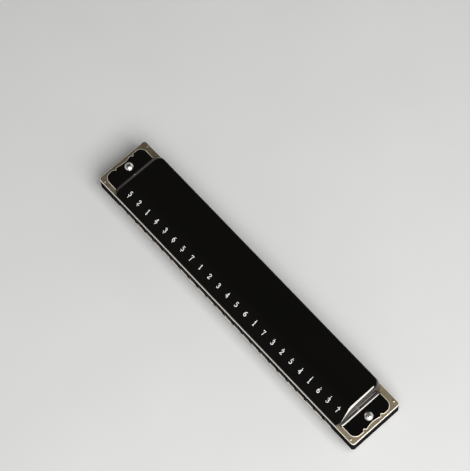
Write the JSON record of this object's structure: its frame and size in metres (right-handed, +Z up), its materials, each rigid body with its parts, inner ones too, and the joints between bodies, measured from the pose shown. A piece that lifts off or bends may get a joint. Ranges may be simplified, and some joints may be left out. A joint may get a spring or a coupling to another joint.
{
  "type": "tremolo harmonica",
  "caption": "Slim tremolo harmonica with paired mouth holes along one long side, brass reed plates, mirror-finish covers open at the back, and freely swinging reeds.",
  "frame": {"origin": "on the surface it stands on, below the middle of its plan", "axes": "+X along its length from the low notes to the high notes, the mouth side faces -Y, +Z up"},
  "size_m": [0.182, 0.03, 0.0216],
  "materials": {
    "cover": "dark mirror polish",
    "reed_plate": "fine satin, pale brass",
    "comb": "black moulded, lightly polished",
    "reed": "milled brass",
    "fastener": "bright nickel"
  },
  "bodies": {
    "harmonica": {"comb": "comb", "upper_reed_plate": "reed_plate", "lower_reed_plate": "reed_plate", "upper_cover": "cover", "lower_cover": "cover", "left_bolt": "fastener", "right_bolt": "fastener", "left_nut": "fastener", "right_nut": "fastener"},
    "upper_blow_reed_01": {"upper_blow_reed_01": "reed"},
    "upper_draw_reed_02": {"upper_draw_reed_02": "reed"},
    "upper_blow_reed_03": {"upper_blow_reed_03": "reed"},
    "upper_draw_reed_04": {"upper_draw_reed_04": "reed"},
    "upper_blow_reed_05": {"upper_blow_reed_05": "reed"},
    "upper_draw_reed_06": {"upper_draw_reed_06": "reed"},
    "upper_blow_reed_07": {"upper_blow_reed_07": "reed"},
    "upper_draw_reed_08": {"upper_draw_reed_08": "reed"},
    "upper_blow_reed_09": {"upper_blow_reed_09": "reed"},
    "upper_draw_reed_10": {"upper_draw_reed_10": "reed"},
    "upper_blow_reed_11": {"upper_blow_reed_11": "reed"},
    "upper_draw_reed_12": {"upper_draw_reed_12": "reed"},
    "upper_blow_reed_13": {"upper_blow_reed_13": "reed"},
    "upper_draw_reed_14": {"upper_draw_reed_14": "reed"},
    "upper_blow_reed_15": {"upper_blow_reed_15": "reed"},
    "upper_draw_reed_16": {"upper_draw_reed_16": "reed"},
    "upper_blow_reed_17": {"upper_blow_reed_17": "reed"},
    "upper_draw_reed_18": {"upper_draw_reed_18": "reed"},
    "upper_blow_reed_19": {"upper_blow_reed_19": "reed"},
    "upper_draw_reed_20": {"upper_draw_reed_20": "reed"},
    "upper_blow_reed_21": {"upper_blow_reed_21": "reed"},
    "upper_draw_reed_22": {"upper_draw_reed_22": "reed"},
    "upper_blow_reed_23": {"upper_blow_reed_23": "reed"},
    "upper_draw_reed_24": {"upper_draw_reed_24": "reed"},
    "lower_blow_reed_01": {"lower_blow_reed_01": "reed"},
    "lower_draw_reed_02": {"lower_draw_reed_02": "reed"},
    "lower_blow_reed_03": {"lower_blow_reed_03": "reed"},
    "lower_draw_reed_04": {"lower_draw_reed_04": "reed"},
    "lower_blow_reed_05": {"lower_blow_reed_05": "reed"},
    "lower_draw_reed_06": {"lower_draw_reed_06": "reed"},
    "lower_blow_reed_07": {"lower_blow_reed_07": "reed"},
    "lower_draw_reed_08": {"lower_draw_reed_08": "reed"},
    "lower_blow_reed_09": {"lower_blow_reed_09": "reed"},
    "lower_draw_reed_10": {"lower_draw_reed_10": "reed"},
    "lower_blow_reed_11": {"lower_blow_reed_11": "reed"},
    "lower_draw_reed_12": {"lower_draw_reed_12": "reed"},
    "lower_blow_reed_13": {"lower_blow_reed_13": "reed"},
    "lower_draw_reed_14": {"lower_draw_reed_14": "reed"},
    "lower_blow_reed_15": {"lower_blow_reed_15": "reed"},
    "lower_draw_reed_16": {"lower_draw_reed_16": "reed"},
    "lower_blow_reed_17": {"lower_blow_reed_17": "reed"},
    "lower_draw_reed_18": {"lower_draw_reed_18": "reed"},
    "lower_blow_reed_19": {"lower_blow_reed_19": "reed"},
    "lower_draw_reed_20": {"lower_draw_reed_20": "reed"},
    "lower_blow_reed_21": {"lower_blow_reed_21": "reed"},
    "lower_draw_reed_22": {"lower_draw_reed_22": "reed"},
    "lower_blow_reed_23": {"lower_blow_reed_23": "reed"},
    "lower_draw_reed_24": {"lower_draw_reed_24": "reed"}
  },
  "joints": [
    {"name": "upper_blow_reed_01_swing", "type": "hinge", "parent": "harmonica", "child": "upper_blow_reed_01", "pos_m": [-0.0736, 0.0086, 0.01485], "axis": [1, 0, 0], "range_deg": [-2.5, 2.5], "stiffness_Nm_per_rad": 0.02},
    {"name": "upper_draw_reed_02_swing", "type": "hinge", "parent": "harmonica", "child": "upper_draw_reed_02", "pos_m": [-0.0672, -0.009, 0.01615], "axis": [1, 0, 0], "range_deg": [-2.5, 2.5], "stiffness_Nm_per_rad": 0.02},
    {"name": "upper_blow_reed_03_swing", "type": "hinge", "parent": "harmonica", "child": "upper_blow_reed_03", "pos_m": [-0.0608, 0.0086, 0.01485], "axis": [1, 0, 0], "range_deg": [-2.5, 2.5], "stiffness_Nm_per_rad": 0.02},
    {"name": "upper_draw_reed_04_swing", "type": "hinge", "parent": "harmonica", "child": "upper_draw_reed_04", "pos_m": [-0.0544, -0.009, 0.01615], "axis": [1, 0, 0], "range_deg": [-2.5, 2.5], "stiffness_Nm_per_rad": 0.02},
    {"name": "upper_blow_reed_05_swing", "type": "hinge", "parent": "harmonica", "child": "upper_blow_reed_05", "pos_m": [-0.048, 0.0086, 0.01485], "axis": [1, 0, 0], "range_deg": [-2.5, 2.5], "stiffness_Nm_per_rad": 0.02},
    {"name": "upper_draw_reed_06_swing", "type": "hinge", "parent": "harmonica", "child": "upper_draw_reed_06", "pos_m": [-0.0416, -0.009, 0.01615], "axis": [1, 0, 0], "range_deg": [-2.5, 2.5], "stiffness_Nm_per_rad": 0.02},
    {"name": "upper_blow_reed_07_swing", "type": "hinge", "parent": "harmonica", "child": "upper_blow_reed_07", "pos_m": [-0.0352, 0.0086, 0.01485], "axis": [1, 0, 0], "range_deg": [-2.5, 2.5], "stiffness_Nm_per_rad": 0.02},
    {"name": "upper_draw_reed_08_swing", "type": "hinge", "parent": "harmonica", "child": "upper_draw_reed_08", "pos_m": [-0.0288, -0.009, 0.01615], "axis": [1, 0, 0], "range_deg": [-2.5, 2.5], "stiffness_Nm_per_rad": 0.02},
    {"name": "upper_blow_reed_09_swing", "type": "hinge", "parent": "harmonica", "child": "upper_blow_reed_09", "pos_m": [-0.0224, 0.0086, 0.01485], "axis": [1, 0, 0], "range_deg": [-2.5, 2.5], "stiffness_Nm_per_rad": 0.02},
    {"name": "upper_draw_reed_10_swing", "type": "hinge", "parent": "harmonica", "child": "upper_draw_reed_10", "pos_m": [-0.016, -0.009, 0.01615], "axis": [1, 0, 0], "range_deg": [-2.5, 2.5], "stiffness_Nm_per_rad": 0.02},
    {"name": "upper_blow_reed_11_swing", "type": "hinge", "parent": "harmonica", "child": "upper_blow_reed_11", "pos_m": [-0.0096, 0.0086, 0.01485], "axis": [1, 0, 0], "range_deg": [-2.5, 2.5], "stiffness_Nm_per_rad": 0.02},
    {"name": "upper_draw_reed_12_swing", "type": "hinge", "parent": "harmonica", "child": "upper_draw_reed_12", "pos_m": [-0.0032, -0.009, 0.01615], "axis": [1, 0, 0], "range_deg": [-2.5, 2.5], "stiffness_Nm_per_rad": 0.02},
    {"name": "upper_blow_reed_13_swing", "type": "hinge", "parent": "harmonica", "child": "upper_blow_reed_13", "pos_m": [0.0032, 0.0086, 0.01485], "axis": [1, 0, 0], "range_deg": [-2.5, 2.5], "stiffness_Nm_per_rad": 0.02},
    {"name": "upper_draw_reed_14_swing", "type": "hinge", "parent": "harmonica", "child": "upper_draw_reed_14", "pos_m": [0.0096, -0.009, 0.01615], "axis": [1, 0, 0], "range_deg": [-2.5, 2.5], "stiffness_Nm_per_rad": 0.02},
    {"name": "upper_blow_reed_15_swing", "type": "hinge", "parent": "harmonica", "child": "upper_blow_reed_15", "pos_m": [0.016, 0.0086, 0.01485], "axis": [1, 0, 0], "range_deg": [-2.5, 2.5], "stiffness_Nm_per_rad": 0.02},
    {"name": "upper_draw_reed_16_swing", "type": "hinge", "parent": "harmonica", "child": "upper_draw_reed_16", "pos_m": [0.0224, -0.009, 0.01615], "axis": [1, 0, 0], "range_deg": [-2.5, 2.5], "stiffness_Nm_per_rad": 0.02},
    {"name": "upper_blow_reed_17_swing", "type": "hinge", "parent": "harmonica", "child": "upper_blow_reed_17", "pos_m": [0.0288, 0.0086, 0.01485], "axis": [1, 0, 0], "range_deg": [-2.5, 2.5], "stiffness_Nm_per_rad": 0.02},
    {"name": "upper_draw_reed_18_swing", "type": "hinge", "parent": "harmonica", "child": "upper_draw_reed_18", "pos_m": [0.0352, -0.009, 0.01615], "axis": [1, 0, 0], "range_deg": [-2.5, 2.5], "stiffness_Nm_per_rad": 0.02},
    {"name": "upper_blow_reed_19_swing", "type": "hinge", "parent": "harmonica", "child": "upper_blow_reed_19", "pos_m": [0.0416, 0.0086, 0.01485], "axis": [1, 0, 0], "range_deg": [-2.5, 2.5], "stiffness_Nm_per_rad": 0.02},
    {"name": "upper_draw_reed_20_swing", "type": "hinge", "parent": "harmonica", "child": "upper_draw_reed_20", "pos_m": [0.048, -0.009, 0.01615], "axis": [1, 0, 0], "range_deg": [-2.5, 2.5], "stiffness_Nm_per_rad": 0.02},
    {"name": "upper_blow_reed_21_swing", "type": "hinge", "parent": "harmonica", "child": "upper_blow_reed_21", "pos_m": [0.0544, 0.0086, 0.01485], "axis": [1, 0, 0], "range_deg": [-2.5, 2.5], "stiffness_Nm_per_rad": 0.02},
    {"name": "upper_draw_reed_22_swing", "type": "hinge", "parent": "harmonica", "child": "upper_draw_reed_22", "pos_m": [0.0608, -0.009, 0.01615], "axis": [1, 0, 0], "range_deg": [-2.5, 2.5], "stiffness_Nm_per_rad": 0.02},
    {"name": "upper_blow_reed_23_swing", "type": "hinge", "parent": "harmonica", "child": "upper_blow_reed_23", "pos_m": [0.0672, 0.0086, 0.01485], "axis": [1, 0, 0], "range_deg": [-2.5, 2.5], "stiffness_Nm_per_rad": 0.02},
    {"name": "upper_draw_reed_24_swing", "type": "hinge", "parent": "harmonica", "child": "upper_draw_reed_24", "pos_m": [0.0736, -0.009, 0.01615], "axis": [1, 0, 0], "range_deg": [-2.5, 2.5], "stiffness_Nm_per_rad": 0.02},
    {"name": "lower_blow_reed_01_swing", "type": "hinge", "parent": "harmonica", "child": "lower_blow_reed_01", "pos_m": [-0.0736, 0.0086, 0.00675], "axis": [-1, 0, 0], "range_deg": [-2.5, 2.5], "stiffness_Nm_per_rad": 0.02},
    {"name": "lower_draw_reed_02_swing", "type": "hinge", "parent": "harmonica", "child": "lower_draw_reed_02", "pos_m": [-0.0672, -0.009, 0.00545], "axis": [-1, 0, 0], "range_deg": [-2.5, 2.5], "stiffness_Nm_per_rad": 0.02},
    {"name": "lower_blow_reed_03_swing", "type": "hinge", "parent": "harmonica", "child": "lower_blow_reed_03", "pos_m": [-0.0608, 0.0086, 0.00675], "axis": [-1, 0, 0], "range_deg": [-2.5, 2.5], "stiffness_Nm_per_rad": 0.02},
    {"name": "lower_draw_reed_04_swing", "type": "hinge", "parent": "harmonica", "child": "lower_draw_reed_04", "pos_m": [-0.0544, -0.009, 0.00545], "axis": [-1, 0, 0], "range_deg": [-2.5, 2.5], "stiffness_Nm_per_rad": 0.02},
    {"name": "lower_blow_reed_05_swing", "type": "hinge", "parent": "harmonica", "child": "lower_blow_reed_05", "pos_m": [-0.048, 0.0086, 0.00675], "axis": [-1, 0, 0], "range_deg": [-2.5, 2.5], "stiffness_Nm_per_rad": 0.02},
    {"name": "lower_draw_reed_06_swing", "type": "hinge", "parent": "harmonica", "child": "lower_draw_reed_06", "pos_m": [-0.0416, -0.009, 0.00545], "axis": [-1, 0, 0], "range_deg": [-2.5, 2.5], "stiffness_Nm_per_rad": 0.02},
    {"name": "lower_blow_reed_07_swing", "type": "hinge", "parent": "harmonica", "child": "lower_blow_reed_07", "pos_m": [-0.0352, 0.0086, 0.00675], "axis": [-1, 0, 0], "range_deg": [-2.5, 2.5], "stiffness_Nm_per_rad": 0.02},
    {"name": "lower_draw_reed_08_swing", "type": "hinge", "parent": "harmonica", "child": "lower_draw_reed_08", "pos_m": [-0.0288, -0.009, 0.00545], "axis": [-1, 0, 0], "range_deg": [-2.5, 2.5], "stiffness_Nm_per_rad": 0.02},
    {"name": "lower_blow_reed_09_swing", "type": "hinge", "parent": "harmonica", "child": "lower_blow_reed_09", "pos_m": [-0.0224, 0.0086, 0.00675], "axis": [-1, 0, 0], "range_deg": [-2.5, 2.5], "stiffness_Nm_per_rad": 0.02},
    {"name": "lower_draw_reed_10_swing", "type": "hinge", "parent": "harmonica", "child": "lower_draw_reed_10", "pos_m": [-0.016, -0.009, 0.00545], "axis": [-1, 0, 0], "range_deg": [-2.5, 2.5], "stiffness_Nm_per_rad": 0.02},
    {"name": "lower_blow_reed_11_swing", "type": "hinge", "parent": "harmonica", "child": "lower_blow_reed_11", "pos_m": [-0.0096, 0.0086, 0.00675], "axis": [-1, 0, 0], "range_deg": [-2.5, 2.5], "stiffness_Nm_per_rad": 0.02},
    {"name": "lower_draw_reed_12_swing", "type": "hinge", "parent": "harmonica", "child": "lower_draw_reed_12", "pos_m": [-0.0032, -0.009, 0.00545], "axis": [-1, 0, 0], "range_deg": [-2.5, 2.5], "stiffness_Nm_per_rad": 0.02},
    {"name": "lower_blow_reed_13_swing", "type": "hinge", "parent": "harmonica", "child": "lower_blow_reed_13", "pos_m": [0.0032, 0.0086, 0.00675], "axis": [-1, 0, 0], "range_deg": [-2.5, 2.5], "stiffness_Nm_per_rad": 0.02},
    {"name": "lower_draw_reed_14_swing", "type": "hinge", "parent": "harmonica", "child": "lower_draw_reed_14", "pos_m": [0.0096, -0.009, 0.00545], "axis": [-1, 0, 0], "range_deg": [-2.5, 2.5], "stiffness_Nm_per_rad": 0.02},
    {"name": "lower_blow_reed_15_swing", "type": "hinge", "parent": "harmonica", "child": "lower_blow_reed_15", "pos_m": [0.016, 0.0086, 0.00675], "axis": [-1, 0, 0], "range_deg": [-2.5, 2.5], "stiffness_Nm_per_rad": 0.02},
    {"name": "lower_draw_reed_16_swing", "type": "hinge", "parent": "harmonica", "child": "lower_draw_reed_16", "pos_m": [0.0224, -0.009, 0.00545], "axis": [-1, 0, 0], "range_deg": [-2.5, 2.5], "stiffness_Nm_per_rad": 0.02},
    {"name": "lower_blow_reed_17_swing", "type": "hinge", "parent": "harmonica", "child": "lower_blow_reed_17", "pos_m": [0.0288, 0.0086, 0.00675], "axis": [-1, 0, 0], "range_deg": [-2.5, 2.5], "stiffness_Nm_per_rad": 0.02},
    {"name": "lower_draw_reed_18_swing", "type": "hinge", "parent": "harmonica", "child": "lower_draw_reed_18", "pos_m": [0.0352, -0.009, 0.00545], "axis": [-1, 0, 0], "range_deg": [-2.5, 2.5], "stiffness_Nm_per_rad": 0.02},
    {"name": "lower_blow_reed_19_swing", "type": "hinge", "parent": "harmonica", "child": "lower_blow_reed_19", "pos_m": [0.0416, 0.0086, 0.00675], "axis": [-1, 0, 0], "range_deg": [-2.5, 2.5], "stiffness_Nm_per_rad": 0.02},
    {"name": "lower_draw_reed_20_swing", "type": "hinge", "parent": "harmonica", "child": "lower_draw_reed_20", "pos_m": [0.048, -0.009, 0.00545], "axis": [-1, 0, 0], "range_deg": [-2.5, 2.5], "stiffness_Nm_per_rad": 0.02},
    {"name": "lower_blow_reed_21_swing", "type": "hinge", "parent": "harmonica", "child": "lower_blow_reed_21", "pos_m": [0.0544, 0.0086, 0.00675], "axis": [-1, 0, 0], "range_deg": [-2.5, 2.5], "stiffness_Nm_per_rad": 0.02},
    {"name": "lower_draw_reed_22_swing", "type": "hinge", "parent": "harmonica", "child": "lower_draw_reed_22", "pos_m": [0.0608, -0.009, 0.00545], "axis": [-1, 0, 0], "range_deg": [-2.5, 2.5], "stiffness_Nm_per_rad": 0.02},
    {"name": "lower_blow_reed_23_swing", "type": "hinge", "parent": "harmonica", "child": "lower_blow_reed_23", "pos_m": [0.0672, 0.0086, 0.00675], "axis": [-1, 0, 0], "range_deg": [-2.5, 2.5], "stiffness_Nm_per_rad": 0.02},
    {"name": "lower_draw_reed_24_swing", "type": "hinge", "parent": "harmonica", "child": "lower_draw_reed_24", "pos_m": [0.0736, -0.009, 0.00545], "axis": [-1, 0, 0], "range_deg": [-2.5, 2.5], "stiffness_Nm_per_rad": 0.02}
  ]
}
